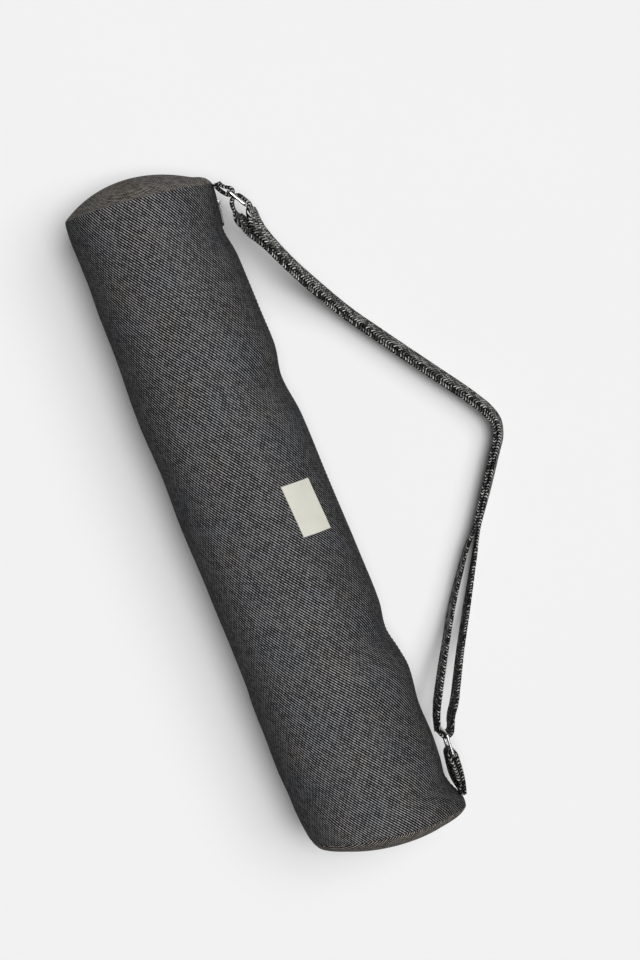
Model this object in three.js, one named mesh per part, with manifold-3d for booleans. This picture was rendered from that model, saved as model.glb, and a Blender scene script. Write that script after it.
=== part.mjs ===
// Yoga mat bag: a long round cloth bag lying on its side, with a webbing shoulder strap.
// Millimetres, +Z up. The bag lies along Y, top end at +Y, with its zip and strap on the +X side.
// Origin: the middle of the flat patch that the bag rests on.

import * as THREE from 'three';
import { mergeVertices } from 'three/addons/utils/BufferGeometryUtils.js';
import Module from 'manifold-3d';

const wasm = await Module();
wasm.setup();

// Bag body
const bodyLength = 660; // seam to seam along the middle of the bag
const bagWidth = 152;
const bagHeight = 140;
const widestShare = 0.5; // share of the height at which the bag is widest
const undersideDip = 1.18; // depth of the round underside before the floor flattens it, per half height
const clothThick = 2;
const topDome = 22; // how far an end panel bulges past its seam
const topDomePower = 1.75; // the higher, the flatter the panel is near its seam
const bottomDome = 22.5;
const bottomDomePower = 1.35;
const topSeamSlant = -0.109; // Y gained per X along a seam, because the strap pulls on one side
const bottomSeamSlant = -0.145;
const topSeamBow = 4; // how far the seam lies back toward the bag's middle at the bag's sides
const bottomSeamBow = -1.5;
const seamGap = 0.3; // between any two pieces that touch

// Zip
const zipAngle = -16; // degrees round the bag from +X, a little below the side
const slotWidth = 14; // between the two cloth edges
const coilWidth = 5;
const coilHeight = 2.4;
const coilDepth = 0.8; // from the cloth's outer face down to the top of the coil
const tapeWidth = 11;
const tapeThick = 0.9;
const zipSliderAt = 0.03; // share of the length from the top seam
const zipPlate = { long: 12, wide: 9, thick: 1.6 };
const zipArch = { long: 7, wide: 2.2, tall: 3.6, wall: 1.3 };
const pullSize = { long: 22, wide: 7, thick: 1.4 };
const pullWindow = { from: 0.7, to: 4.9, side: 0.5 }; // from the hinge line, and beside the arch

// Label
const labelLong = 53;
const labelWide = 34.5;
const labelThick = 1;
const labelAt = 0.4915; // middle of the label, as a share of the length from the top seam
const labelAngle = 51;
const labelTurn = 2.5; // its lower end lies nearer the zip

// Webbing, tabs and metal parts
const webWidth = 28;
const webThick = 3.6;
const wire = 3;
const windowClear = 1; // between the webbing's edges and the rails of the ring and the slider
const wireCorner = 2.4;
const sliderOut = 12; // from the bag's side to the slider's first bar
const sliderDown = 12.3; // from the top seam to the slider's first bar
const sliderHeight = 70; // height of the middle of the slider
const sliderTurn = -60; // degrees from +X, along the slider from its first bar
const outerSlot = 10; // between the centres of the slider's middle bar and last bar
const ringOut = 4.2; // from the bag's side at the bottom seam to the ring's lower bar
const ringTurn = 85.6;
const ringWindow = 23.4; // between the centres of the ring's two bars
const tabReach = 52.4; // from the bottom seam to the ring's lower bar
const lowerTabEnd = 11; // from the bottom seam to the end of the lower tab
const upperTabEnd = 0.5; // from the top seam to the end of the upper tab

// Strap
const strapReach = 174; // from the bag's side to the strap's bend
const loopTurn = 68; // degrees from +X, along the strap from the ring
const loopSpread = 6.5; // half the width of the strap's loop at the ring

// Outline of the body. at: share of the length from the top seam.
// left, right: shares of half the width. top: share of the height.
const bodySections = [
  { at: 0.0, left: 0.95, right: 0.98, top: 0.965 },
  { at: 0.03, left: 0.985, right: 0.955, top: 0.985 },
  { at: 0.07, left: 0.985, right: 0.905, top: 0.99 },
  { at: 0.1, left: 0.975, right: 0.94, top: 1.0 },
  { at: 0.14, left: 0.985, right: 0.955, top: 1.0 },
  { at: 0.2, left: 0.99, right: 0.965, top: 0.995 },
  { at: 0.25, left: 1.005, right: 0.97, top: 1.0 },
  { at: 0.3, left: 1.015, right: 0.905, top: 0.995 },
  { at: 0.36, left: 1.02, right: 0.965, top: 1.0 },
  { at: 0.46, left: 1.02, right: 0.985, top: 1.005 },
  { at: 0.58, left: 1.005, right: 1.01, top: 1.0 },
  { at: 0.66, left: 0.995, right: 1.02, top: 1.0 },
  { at: 0.71, left: 1.0, right: 0.975, top: 0.995 },
  { at: 0.745, left: 1.005, right: 1.035, top: 1.0 },
  { at: 0.775, left: 1.02, right: 1.07, top: 1.0 },
  { at: 0.83, left: 1.02, right: 1.015, top: 0.995 },
  { at: 0.88, left: 1.03, right: 1.025, top: 0.99 },
  { at: 0.92, left: 1.015, right: 1.01, top: 0.985 },
  { at: 0.95, left: 1.01, right: 0.985, top: 0.98 },
  { at: 0.975, left: 0.99, right: 1.03, top: 0.97 },
  { at: 1.0, left: 0.955, right: 1.01, top: 0.955 },
];

// Dents (deep above 0) and bulges (deep below 0) of the body. angle, wide: degrees round the bag.
// deep: share of half the width. long: share of the length. Both spreads are to the form's edge.
const dents = [
  { at: 0.07, angle: 20, deep: 0.03, long: 0.05, wide: 45 },
  { at: 0.05, angle: 150, deep: 0.025, long: 0.06, wide: 50 },
  { at: 0.31, angle: 25, deep: 0.025, long: 0.05, wide: 40 },
  { at: 0.55, angle: 120, deep: 0.02, long: 0.1, wide: 45 },
  { at: 0.71, angle: 30, deep: 0.035, long: 0.04, wide: 45 },
  { at: 0.84, angle: 60, deep: 0.025, long: 0.05, wide: 50 },
  { at: 0.93, angle: 130, deep: 0.03, long: 0.05, wide: 50 },
  { at: 0.955, angle: 35, deep: 0.03, long: 0.03, wide: 45 },
  { at: 0.995, angle: 0, deep: -0.1, long: 0.03, wide: 30 },
];

// The strap's two plies run together along this route, from the slider to the ring.
// out: share of the strap's reach. along: share of the way from the ring (0) to the slider (1).
// lift: lower edge's height, as a share of its height at the slider.
// lean: degrees that the top edge leans toward the bag. spread: half the distance between the
// plies, as a share of the loop's half width at the ring.
const strapRoute = [
  { out: 0.096, along: 0.985, lift: 1.0, lean: 2, spread: 1.23 },
  { out: 0.114, along: 0.962, lift: 0.92, lean: 7, spread: 0.62 },
  { out: 0.155, along: 0.93, lift: 0.8, lean: 10, spread: 0.35 },
  { out: 0.228, along: 0.875, lift: 0.58, lean: 11, spread: 0.32 },
  { out: 0.319, along: 0.817, lift: 0.28, lean: 12, spread: 0.32 },
  { out: 0.425, along: 0.757, lift: 0.03, lean: 12, spread: 0.32 },
  { out: 0.56, along: 0.694, lift: 0, lean: 12, spread: 0.32 },
  { out: 0.769, along: 0.599, lift: 0, lean: 13, spread: 0.32 },
  { out: 0.912, along: 0.5345, lift: 0, lean: 12, spread: 0.33 },
  { out: 0.979, along: 0.498, lift: 0, lean: 11, spread: 0.34 },
  { out: 1.0, along: 0.4743, lift: 0, lean: 10, spread: 0.35 },
  { out: 0.982, along: 0.449, lift: 0, lean: 10, spread: 0.34 },
  { out: 0.916, along: 0.417, lift: 0, lean: 10, spread: 0.33 },
  { out: 0.796, along: 0.361, lift: 0, lean: 9, spread: 0.33 },
  { out: 0.673, along: 0.3055, lift: 0, lean: 5, spread: 0.37 },
  { out: 0.591, along: 0.2685, lift: 0, lean: 1, spread: 0.74 },
  { out: 0.437, along: 0.192, lift: 0.02, lean: -4, spread: 1.12 },
  { out: 0.2945, along: 0.1185, lift: 0.24, lean: -6, spread: 1.2 },
  { out: 0.1625, along: 0.0477, lift: 0.62, lean: -7, spread: 1.29 },
  { out: 0.112, along: 0.021, lift: 0.77, lean: -7, spread: 1.12 },
];
const ringLift = 0.85; // the strap's lift at the ring, as in the table above
const ringLean = -7;

// Left ply between the slider's slot and the start of the route, in the slider's own axes.
// along, across: from the middle bar, as shares of the webbing's turn round a bar.
const slotExit = [
  { along: -1, across: -1.2 },
  { along: -0.17, across: -2.3 },
  { along: 1.36, across: -3.28 },
];

// Mesh steps
const lengthSteps = 36;
const roundSteps = 36;
const domeSteps = 6;
const labelSteps = 6;
const tabSteps = 6;
const routeSteps = 4; // per row of the strap's route
const turnSteps = 8; // per half turn of webbing
const wireSides = 8;

// Worked-out sizes
const halfWidth = bagWidth / 2;
const turnRadius = wire / 2 + seamGap + webThick / 2; // bar's centre to the middle of the webbing
const innerSlot = wire + 2 * webThick + 3 * seamGap; // holds the tab and the strap side by side
const railHeight = webWidth / 2 + windowClear + wire / 2;
const pairSpread = (webThick + seamGap) / 2;

const radians = THREE.MathUtils.degToRad;
const up = new THREE.Vector3(0, 0, 1);

// A unit vector in the ground plane, in degrees from +X.
function heading(degrees) {
  return new THREE.Vector3(Math.cos(radians(degrees)), Math.sin(radians(degrees)), 0);
}

// Upward, but leaning by some degrees toward a level direction.
function leaningUp(side, lean) {
  return up.clone().multiplyScalar(Math.cos(radians(lean)))
    .addScaledVector(side, Math.sin(radians(lean)));
}

// The level direction to the right of a run.
function rightOf(ahead) {
  return new THREE.Vector3(ahead.y, -ahead.x, 0).normalize();
}

// Degrees round the bag that a length on its surface takes up.
function degreesFor(length) {
  return THREE.MathUtils.radToDeg(length / halfWidth);
}

// A smooth curve through one column of a table whose rows have a share, at.
function columnOf(rows, name) {
  const slope = (i) => {
    const before = rows[Math.max(i - 1, 0)];
    const after = rows[Math.min(i + 1, rows.length - 1)];
    return (after[name] - before[name]) / (after.at - before.at);
  };
  return (at) => {
    const next = rows.findIndex((row) => row.at > at);
    const i = next < 0 ? rows.length - 2 : Math.max(next - 1, 0);
    const low = rows[i];
    const high = rows[i + 1];
    const span = high.at - low.at;
    const t = (at - low.at) / span;
    const rise = t * t * (3 - 2 * t);
    const start = t * (1 - t) * (1 - t) * span * slope(i);
    const end = t * t * (t - 1) * span * slope(i + 1);
    return low[name] * (1 - rise) + high[name] * rise + start + end;
  };
}

const leftShare = columnOf(bodySections, 'left');
const rightShare = columnOf(bodySections, 'right');
const topShare = columnOf(bodySections, 'top');

// 1 at the middle of a dent, 0 at its edge.
function fade(offset, reach) {
  const t = Math.min(Math.abs(offset / reach), 1);
  return (1 + Math.cos(Math.PI * t)) / 2;
}

function dentDepth(at, angle) {
  let depth = 0;
  for (const dent of dents) {
    const turn = ((angle - dent.angle + 540) % 360) - 180;
    depth += dent.deep * fade(at - dent.at, dent.long) * fade(turn, dent.wide);
  }
  return depth;
}

// The body's outline across the bag: x and height at an angle from +X.
function sectionPoint(at, angle) {
  const across = Math.cos(radians(angle));
  const rise = Math.sin(radians(angle));
  const shrink = 1 - dentDepth(at, angle);
  const side = across > 0 ? rightShare(at) : leftShare(at);
  const middle = bagHeight * widestShare;
  const height = rise > 0 ? bagHeight * topShare(at) - middle : middle * undersideDip;
  return new THREE.Vector2(
    halfWidth * side * across * shrink,
    Math.max(0, middle + height * rise * (rise > 0 ? shrink : 1)),
  );
}

function topSeamY(x) {
  return bodyLength / 2 + topSeamSlant * x - topSeamBow * (x / halfWidth) ** 2;
}

function bottomSeamY(x) {
  return -bodyLength / 2 + bottomSeamSlant * x + bottomSeamBow * (x / halfWidth) ** 2;
}

// A point on the body, pushed into the cloth by depth. The push stays in the section's own plane.
function bodyPoint(at, angle, depth = 0) {
  const step = 1;
  const outer = sectionPoint(at, angle);
  const run = sectionPoint(at, angle + step).sub(sectionPoint(at, angle - step)).normalize();
  const x = outer.x - run.y * depth;
  const y = THREE.MathUtils.lerp(topSeamY(x), bottomSeamY(x), at);
  return new THREE.Vector3(x, y, outer.y + run.x * depth);
}

// A closed geometry from points and triangles, with its faces pointing out.
function closedGeometry(points, triangles) {
  let volume = 0;
  for (const [a, b, c] of triangles) {
    volume += points[a].dot(new THREE.Vector3().crossVectors(points[b], points[c]));
  }
  const ordered = volume > 0 ? triangles : triangles.map(([a, b, c]) => [a, c, b]);
  const geometry = new THREE.BufferGeometry().setFromPoints(points);
  geometry.setIndex(ordered.flat());
  geometry.computeVertexNormals();
  return geometry;
}

function quad(a, b, c, d) {
  return [[a, b, c], [a, c, d]];
}

// A thick sheet between two grids of points, closed along its four edges.
function sheetGeometry(outer, inner) {
  const rows = outer.length;
  const columns = outer[0].length;
  const layer = rows * columns;
  const triangles = [];
  for (let i = 0; i < rows - 1; i += 1) {
    for (let j = 0; j < columns - 1; j += 1) {
      const a = i * columns + j;
      const d = a + columns;
      triangles.push(...quad(a, a + 1, d + 1, d));
      triangles.push(...quad(layer + a, layer + d, layer + d + 1, layer + a + 1));
      if (i === 0) triangles.push(...quad(a + 1, a, layer + a, layer + a + 1));
      if (i === rows - 2) triangles.push(...quad(d, d + 1, layer + d + 1, layer + d));
      if (j === 0) triangles.push(...quad(a, d, layer + d, layer + a));
      if (j === columns - 2) triangles.push(...quad(d + 1, a + 1, layer + a + 1, layer + d + 1));
    }
  }
  return closedGeometry([...outer.flat(), ...inner.flat()], triangles);
}

// A thick dish: rings of points from the rim inward, outside and inside, each closed by one point.
function dishGeometry(outerRings, innerRings, outerPole, innerPole) {
  const around = outerRings[0].length;
  const layer = outerRings.length * around;
  const poles = [2 * layer, 2 * layer + 1];
  const triangles = [];
  for (let j = 0; j < around; j += 1) {
    const k = (j + 1) % around;
    for (let i = 0; i < outerRings.length - 1; i += 1) {
      const row = i * around;
      const next = row + around;
      triangles.push(...quad(row + j, row + k, next + k, next + j));
      triangles.push(...quad(layer + row + j, layer + next + j, layer + next + k, layer + row + k));
    }
    const last = layer - around;
    triangles.push([last + j, last + k, poles[0]]);
    triangles.push([layer + last + k, layer + last + j, poles[1]]);
    triangles.push(...quad(k, j, layer + j, layer + k));
  }
  const points = [...outerRings.flat(), ...innerRings.flat(), outerPole, innerPole];
  return closedGeometry(points, triangles);
}

// A solid through a row of sections with the same number of corners, as a bar or as a closed loop.
function loftGeometry(sections, isLoop) {
  const corners = sections[0].length;
  const triangles = [];
  const spans = isLoop ? sections.length : sections.length - 1;
  for (let i = 0; i < spans; i += 1) {
    const row = i * corners;
    const next = ((i + 1) % sections.length) * corners;
    for (let j = 0; j < corners; j += 1) {
      const k = (j + 1) % corners;
      triangles.push(...quad(row + j, row + k, next + k, next + j));
    }
  }
  if (!isLoop) {
    const last = (sections.length - 1) * corners;
    for (let j = 1; j < corners - 1; j += 1) {
      triangles.push([0, j + 1, j]);
      triangles.push([last, last + j, last + j + 1]);
    }
  }
  return closedGeometry(sections.flat(), triangles);
}

function steps(count) {
  return Array.from({ length: count + 1 }, (_, i) => i / count);
}

// A sheet that follows the body, over some lengths and angles and between two depths.
function bodySheet(lengths, angles, fromDepth, toDepth) {
  const grid = (depth) => lengths.map((at) => angles.map((angle) => bodyPoint(at, angle, depth)));
  return sheetGeometry(grid(fromDepth), grid(toDepth));
}

function between(from, to, count) {
  return steps(count).map((share) => THREE.MathUtils.lerp(from, to, share));
}

// Solids for the few cuts and joins.
function solidFrom(geometry) {
  const bare = geometry.clone();
  bare.deleteAttribute('normal');
  bare.deleteAttribute('uv');
  const merged = mergeVertices(bare);
  return new wasm.Manifold(new wasm.Mesh({
    numProp: 3,
    vertProperties: new Float32Array(merged.attributes.position.array),
    triVerts: new Uint32Array(merged.index.array),
  }));
}

function geometryFrom(solid) {
  const mesh = solid.getMesh();
  const geometry = new THREE.BufferGeometry();
  geometry.setAttribute('position', new THREE.BufferAttribute(mesh.vertProperties, 3));
  geometry.setIndex(new THREE.BufferAttribute(mesh.triVerts, 1));
  geometry.computeVertexNormals();
  return geometry;
}

function boxSolid(size, centre) {
  return solidFrom(new THREE.BoxGeometry(...size).translate(...centre));
}

// Materials
const clothMaterial = () => new THREE.MeshStandardMaterial({ color: 0x56555a, roughness: 0.95 });
const endMaterial = () => new THREE.MeshStandardMaterial({ color: 0x57544f, roughness: 0.95 });
const webbingMaterial = () => new THREE.MeshStandardMaterial({ color: 0x2f2f30, roughness: 0.85 });
const labelMaterial = () => new THREE.MeshStandardMaterial({ color: 0xdedccd, roughness: 0.8 });
const tapeMaterial = () => new THREE.MeshStandardMaterial({ color: 0x1b1b1d, roughness: 0.9 });
const coilMaterial = () => new THREE.MeshStandardMaterial({ color: 0x151516, roughness: 0.45 });
const metalMaterial = () => new THREE.MeshStandardMaterial({
  color: 0xc9cac8,
  roughness: 0.22,
  metalness: 1,
});

// Cloth

// Angles from the middle of the zip to the coil's side, the cloth's edge and the tape's edge.
const coilSide = degreesFor(coilWidth / 2 + seamGap);
const clothEdge = degreesFor(slotWidth / 2);
const tapeEdge = coilSide + degreesFor(tapeWidth);

// The body is one sheet, rolled from the upper side of the zip over the top to its lower side.
function bodyPanel() {
  const start = zipAngle;
  const end = zipAngle + 360;
  const round = between(start + tapeEdge, end - tapeEdge, roundSteps);
  const angles = [start + clothEdge, ...round, end - clothEdge];
  return bodySheet(steps(lengthSteps), angles, 0, clothThick);
}

// The end panels are shallow dishes whose rims stand against the body's ends.
function endPanel(at, outward) {
  const endDome = at === 0 ? topDome : bottomDome;
  const power = at === 0 ? topDomePower : bottomDomePower;
  const rim = steps(roundSteps).slice(1).map((share) => bodyPoint(at, share * 360));
  const innerRim = steps(roundSteps).slice(1).map((share) => bodyPoint(at, share * 360, clothThick));
  const middle = new THREE.Vector3(0, 0, bagHeight * widestShare);
  const seamY = at === 0 ? topSeamY : bottomSeamY;
  const dishPoint = (rimPoint, radius, bulge) => {
    const x = THREE.MathUtils.lerp(middle.x, rimPoint.x, radius);
    const z = THREE.MathUtils.lerp(middle.z, rimPoint.z, radius);
    return new THREE.Vector3(x, seamY(x) + outward * (seamGap + bulge), z);
  };
  const rings = (points, dome) => steps(domeSteps).slice(0, -1).map((share) => {
    const turn = (share * Math.PI) / 2;
    return points.map((p) => dishPoint(p, Math.cos(turn), dome * Math.sin(turn) ** power));
  });
  return dishGeometry(
    rings(rim, endDome),
    rings(innerRim, endDome - clothThick),
    dishPoint(middle, 0, endDome),
    dishPoint(middle, 0, endDome - clothThick),
  );
}

function label() {
  const cos = Math.cos(radians(labelTurn));
  const sin = Math.sin(radians(labelTurn));
  const lengths = between(-labelLong / 2, labelLong / 2, labelSteps);
  const widths = between(-labelWide / 2, labelWide / 2, labelSteps);
  const grid = (depth) => lengths.map((along) => widths.map((across) => bodyPoint(
    labelAt + (along * cos + across * sin) / bodyLength,
    labelAngle + degreesFor(across * cos - along * sin),
    depth,
  )));
  return sheetGeometry(grid(-seamGap - labelThick), grid(-seamGap));
}

// Zip

// side: 1 for the tape above the coil, -1 for the one below it.
function zipTape(side) {
  const angles = [coilSide, clothEdge, tapeEdge].map((angle) => zipAngle + side * angle);
  const top = clothThick + seamGap;
  return bodySheet(steps(lengthSteps), angles.sort((a, b) => a - b), top, top + tapeThick);
}

function zipCoil() {
  const half = degreesFor(coilWidth / 2);
  const angles = [zipAngle - half, zipAngle + half];
  return bodySheet(steps(lengthSteps), angles, coilDepth, coilDepth + coilHeight);
}

// The slider's place: x along the zip toward the bottom end, z out of the bag.
function zipFrame() {
  const place = bodyPoint(zipSliderAt, zipAngle);
  const pullEnd = bodyPoint(zipSliderAt + pullSize.long / bodyLength, zipAngle);
  const along = pullEnd.sub(place).normalize();
  const round = bodyPoint(zipSliderAt, zipAngle + 1).sub(place).normalize();
  const out = new THREE.Vector3().crossVectors(round, along).normalize();
  const across = new THREE.Vector3().crossVectors(out, along);
  return { place, turn: new THREE.Matrix4().makeBasis(along, across, out) };
}

const plateTop = seamGap - coilDepth + zipPlate.thick;
const hingeHeight = plateTop + (zipArch.tall - zipArch.wall) / 2;

// A plate over the coil with a small arch that holds the pull.
function zipSlider() {
  const plate = boxSolid(
    [zipPlate.long, zipPlate.wide, zipPlate.thick],
    [0, 0, plateTop - zipPlate.thick / 2],
  );
  const arch = boxSolid(
    [zipArch.long, zipArch.wide, zipArch.tall + zipPlate.thick / 2],
    [0, 0, plateTop + zipArch.tall / 2 - zipPlate.thick / 4],
  );
  const hole = boxSolid(
    [zipArch.long - 2 * zipArch.wall, zipPlate.wide, zipArch.tall - zipArch.wall],
    [0, 0, hingeHeight],
  );
  return geometryFrom(plate.add(arch.subtract(hole)));
}

// A flat tongue with a window: the bar at its end passes under the slider's arch.
function zipPull() {
  const start = -pullSize.thick / 2;
  const tongue = new THREE.Shape();
  const half = pullSize.wide / 2;
  tongue.moveTo(start, -half);
  tongue.lineTo(pullSize.long - half, -half);
  tongue.absarc(pullSize.long - half, 0, half, -Math.PI / 2, Math.PI / 2, false);
  tongue.lineTo(start, half);
  const sideways = zipArch.wide / 2 + pullWindow.side;
  const hole = new THREE.Path();
  hole.moveTo(pullWindow.from, -sideways);
  hole.lineTo(pullWindow.from, sideways);
  hole.lineTo(pullWindow.to, sideways);
  hole.lineTo(pullWindow.to, -sideways);
  tongue.holes.push(hole);
  const options = { depth: pullSize.thick, bevelEnabled: false, curveSegments: 8 };
  const flat = new THREE.ExtrudeGeometry(tongue, options).translate(0, 0, -pullSize.thick / 2);
  return geometryFrom(solidFrom(flat));
}

// Metal parts of the strap

// A closed wire rectangle that stands on edge: x across its two bars, z along them.
function wireRectangle(acrossBars) {
  const halfX = acrossBars / 2 - wireCorner;
  const halfZ = railHeight - wireCorner;
  const corners = [[halfX, halfZ, 0], [-halfX, halfZ, 90], [-halfX, -halfZ, 180], [halfX, -halfZ, 270]];
  const sections = [];
  for (const [x, z, from] of corners) {
    for (const share of steps(3)) {
      const turn = radians(from + 90 * share);
      const out = new THREE.Vector3(Math.cos(turn), 0, Math.sin(turn));
      const centre = new THREE.Vector3(x, 0, z).addScaledVector(out, wireCorner);
      sections.push(steps(wireSides).slice(1).map((side) => {
        const spin = side * 2 * Math.PI;
        const offset = out.clone().multiplyScalar((Math.cos(spin) * wire) / 2);
        offset.y = (Math.sin(spin) * wire) / 2;
        return centre.clone().add(offset);
      }));
    }
  }
  return loftGeometry(sections, true);
}

function strapSlider() {
  const frame = solidFrom(wireRectangle(innerSlot + outerSlot));
  const bar = new THREE.CylinderGeometry(wire / 2, wire / 2, 2 * railHeight, wireSides);
  bar.rotateX(Math.PI / 2);
  bar.translate(innerSlot - (innerSlot + outerSlot) / 2, 0, 0);
  return geometryFrom(frame.add(solidFrom(bar)));
}

// Places of the bars. The slider's stand upright, and the ring's lean.
const topCorner = bodyPoint(0, 0);
const sliderAlong = heading(sliderTurn);
const sliderAcross = heading(sliderTurn + 90);
const firstBar = new THREE.Vector3(topCorner.x + sliderOut, topCorner.y - sliderDown, sliderHeight);
const middleBar = firstBar.clone().addScaledVector(sliderAlong, innerSlot);
const lastBar = middleBar.clone().addScaledVector(sliderAlong, outerSlot);
const sliderMiddle = firstBar.clone().lerp(lastBar, 0.5);

// Height of the middle of webbing whose lower edge is lifted off the floor and which leans.
function middleHeight(lift, lean) {
  const tilt = Math.abs(radians(lean));
  return lift + (webWidth / 2) * Math.cos(tilt) + (webThick / 2) * Math.sin(tilt);
}

const fullLift = sliderHeight - webWidth / 2;
const ringHeight = middleHeight(ringLift * fullLift, ringLean);
const bottomCorner = bodyPoint(1, 0);
const ringAlong = heading(ringTurn);
const lowerBar = new THREE.Vector3(bottomCorner.x + ringOut, bottomCorner.y + tabReach, ringHeight);
const upperBar = lowerBar.clone().addScaledVector(ringAlong, ringWindow);
const ringMiddle = lowerBar.clone().lerp(upperBar, 0.5);
const ringBar = leaningUp(heading(ringTurn + 90), ringLean);
const loopCentre = upperBar.clone().addScaledVector(heading(loopTurn), loopSpread - turnRadius);

// Webbing

// A section of webbing: tangent is its run, and rise points across it to its top edge.
function webSection({ centre, tangent, rise }) {
  const across = rise.clone().addScaledVector(tangent, -rise.dot(tangent)).normalize();
  const through = new THREE.Vector3().crossVectors(tangent, across);
  return [[1, 1], [1, -1], [-1, -1], [-1, 1]].map(([w, t]) => centre.clone()
    .addScaledVector(across, (w * webWidth) / 2)
    .addScaledVector(through, (t * webThick) / 2));
}

// Adds the tangents along a row of stations, then makes the solid.
function webGeometry(stations, isLoop) {
  const count = stations.length;
  stations.forEach((station, i) => {
    const before = isLoop ? stations[(i + count - 1) % count] : stations[Math.max(i - 1, 0)];
    const after = isLoop ? stations[(i + 1) % count] : stations[Math.min(i + 1, count - 1)];
    station.tangent = after.centre.clone().sub(before.centre).normalize();
  });
  return loftGeometry(stations.map(webSection), isLoop);
}

// Stations on an arc round a bar, in degrees from the right of a run to its left.
function turnStations(centre, bar, ahead, radius, fromAngle, toAngle) {
  const right = new THREE.Vector3().crossVectors(ahead, bar).normalize();
  const front = new THREE.Vector3().crossVectors(bar, right);
  const count = Math.ceil(((toAngle - fromAngle) / 180) * turnSteps);
  return between(fromAngle, toAngle, count).map((angle) => ({
    centre: centre.clone()
      .addScaledVector(right, radius * Math.cos(radians(angle)))
      .addScaledVector(front, radius * Math.sin(radians(angle))),
    rise: bar,
  }));
}

// The strap's route as stations from the slider to the ring, before it parts into two plies.
function routeStations() {
  const rows = strapRoute.map((row, i) => ({
    at: i,
    lift: row.lift * fullLift,
    lean: row.lean,
    spread: row.spread * loopSpread,
  }));
  const last = { at: rows.length, lift: ringLift * fullLift, lean: ringLean, spread: loopSpread };
  rows.push(last);
  const points = strapRoute.map((row) => new THREE.Vector3(
    halfWidth + row.out * strapReach,
    THREE.MathUtils.lerp(loopCentre.y, lastBar.y, row.along),
    0,
  ));
  points.push(new THREE.Vector3(loopCentre.x, loopCentre.y, 0));
  const curve = new THREE.CatmullRomCurve3(points);
  const lift = columnOf(rows, 'lift');
  const lean = columnOf(rows, 'lean');
  const spread = columnOf(rows, 'spread');
  const count = (points.length - 1) * routeSteps;
  return steps(count).slice(0, -1).map((share) => {
    const at = share * (points.length - 1);
    const ahead = curve.getTangent(share).setZ(0).normalize();
    const centre = curve.getPoint(share);
    centre.z = middleHeight(Math.max(0, lift(at)), lean(at));
    return { centre, side: rightOf(ahead), lean: lean(at), spread: spread(at) };
  });
}

// One ply of two along a route: sideways is 1 for the ply to the right of the run, else -1.
function plyStations(route, sideways) {
  return route.map(({ centre, side, lean, spread }) => ({
    centre: centre.clone().addScaledVector(side, (sideways * spread) / Math.cos(radians(lean))),
    rise: leaningUp(side, lean),
  }));
}

function shoulderStrap() {
  const route = routeStations();
  const outerPly = plyStations(route, -1).reverse();
  const innerPly = plyStations(route, 1);
  const overBar = (bar, from, to) => turnStations(bar, up, sliderAcross, turnRadius, from, to);
  const exit = slotExit.map(({ along, across }) => ({
    centre: middleBar.clone()
      .addScaledVector(sliderAlong, along * turnRadius)
      .addScaledVector(sliderAcross, across * turnRadius),
    rise: up,
  }));
  const loop = turnStations(loopCentre, ringBar, heading(loopTurn + 180), loopSpread, 0, 180);
  return webGeometry([
    ...outerPly,
    ...overBar(lastBar, -sliderTurn, 90),
    ...overBar(middleBar, 90, 180),
    ...exit,
    ...innerPly,
    ...loop,
  ], true);
}

// A tab: webbing from the bag's side, round a bar and back, as two plies side by side.
// lean: degrees that the bar leans to the right of the tab's run.
function tabGeometry(seat, knee, place, bar, lean) {
  const curve = new THREE.QuadraticBezierCurve3(seat, knee, place);
  const route = steps(tabSteps).slice(0, -1).map((share) => ({
    centre: curve.getPoint(share),
    side: rightOf(curve.getTangent(share)),
    lean: lean * share,
    spread: THREE.MathUtils.lerp(pairSpread, turnRadius, share),
  }));
  const turn = turnStations(place, bar, place.clone().sub(knee), turnRadius, 0, 180);
  return webGeometry([...plyStations(route, 1), ...turn, ...plyStations(route, -1).reverse()], false);
}

// Distance from the bag's side to the middle of two plies that lie against it.
const pairOut = seamGap + webThick / 2 + pairSpread;

function upperTab() {
  const side = topCorner.x + pairOut;
  const seat = new THREE.Vector3(side, topCorner.y - upperTabEnd, sliderHeight);
  const knee = new THREE.Vector3(side, (topCorner.y + firstBar.y) / 2, sliderHeight);
  return tabGeometry(seat, knee, firstBar, up, 0);
}

// The lower tab ends on the body's last facet, where the cloth rises to the corner.
function lowerTab() {
  const facetLong = bodyLength / lengthSteps;
  const facetStart = bodyPoint(1 - 1 / lengthSteps, 0);
  const side = THREE.MathUtils.lerp(bottomCorner.x, facetStart.x, lowerTabEnd / facetLong) + pairOut;
  const seat = new THREE.Vector3(side, bottomCorner.y + lowerTabEnd, ringHeight);
  const knee = new THREE.Vector3(side, THREE.MathUtils.lerp(seat.y, lowerBar.y, 0.4), ringHeight);
  return tabGeometry(seat, knee, lowerBar, ringBar, -ringLean);
}

// The whole bag

const bag = new THREE.Group();

function addPiece(name, geometry, material, parent = bag) {
  const mesh = new THREE.Mesh(geometry, material);
  mesh.name = name;
  parent.add(mesh);
  return mesh;
}

addPiece('body_panel', bodyPanel(), clothMaterial());
addPiece('end_panel_top', endPanel(0, 1), endMaterial());
addPiece('end_panel_bottom', endPanel(1, -1), endMaterial());
addPiece('label', label(), labelMaterial());
addPiece('zip_tape_upper', zipTape(1), tapeMaterial());
addPiece('zip_tape_lower', zipTape(-1), tapeMaterial());
addPiece('zip_coil', zipCoil(), coilMaterial());
addPiece('tab_upper', upperTab(), webbingMaterial());
addPiece('tab_lower', lowerTab(), webbingMaterial());
addPiece('shoulder_strap', shoulderStrap(), webbingMaterial());

const zipGroup = new THREE.Group();
const zip = zipFrame();
zipGroup.position.copy(zip.place);
zipGroup.quaternion.setFromRotationMatrix(zip.turn);
addPiece('zip_slider', zipSlider(), metalMaterial(), zipGroup);
addPiece('zip_pull', zipPull(), metalMaterial(), zipGroup).position.z = hingeHeight;
bag.add(zipGroup);

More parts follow.
